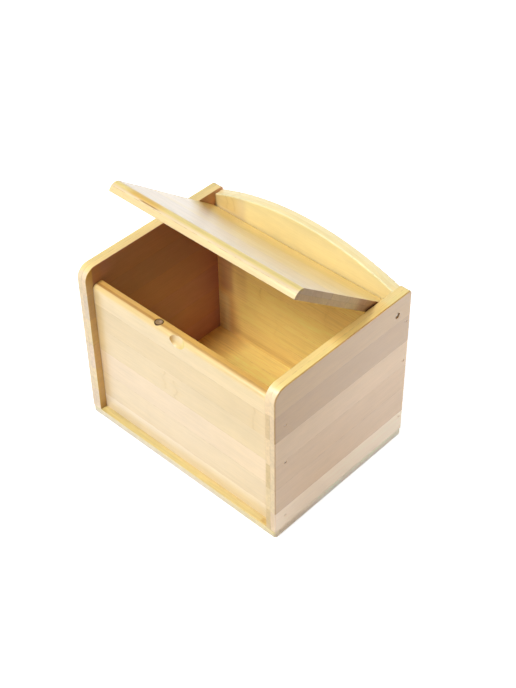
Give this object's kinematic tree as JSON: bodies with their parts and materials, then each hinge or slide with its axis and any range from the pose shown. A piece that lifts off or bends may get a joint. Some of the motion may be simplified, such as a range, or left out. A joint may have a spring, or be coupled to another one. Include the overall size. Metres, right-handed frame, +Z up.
{
  "type": "salt box",
  "caption": "Free-standing bamboo salt box with an open-fronted arch-backed carcass and a bull-nosed lid that swings up on dowels and shuts on magnets.",
  "frame": {"origin": "centre of the footprint, on the surface that the box stands on", "axes": "+X to the box's right as seen from the front, +Y from the front board to the back board, +Z up; the lid's hinge line is parallel to X"},
  "size_m": [0.161, 0.1186, 0.1707],
  "materials": {
    "bamboo": "satin",
    "dowel_wood": "matt",
    "magnet": "satin",
    "nail_steel": "satin"
  },
  "bodies": {
    "box": {"bottom_board": "bamboo", "left_side": "bamboo", "right_side": "bamboo", "front_board": "bamboo", "back_board": "bamboo", "hinge_dowel_left": "dowel_wood", "hinge_dowel_right": "dowel_wood", "front_magnet": "magnet", "front_nails": "nail_steel", "back_nails": "nail_steel", "bottom_nails": "nail_steel"},
    "lid": {"lid": "bamboo", "lid_magnet": "magnet"}
  },
  "joints": [
    {"name": "lid_hinge", "type": "hinge", "parent": "box", "child": "lid", "pos_m": [0, 0.0467, 0.1079], "axis": [-1, 0, 0], "range_deg": [-36.15, 54.8]}
  ]
}
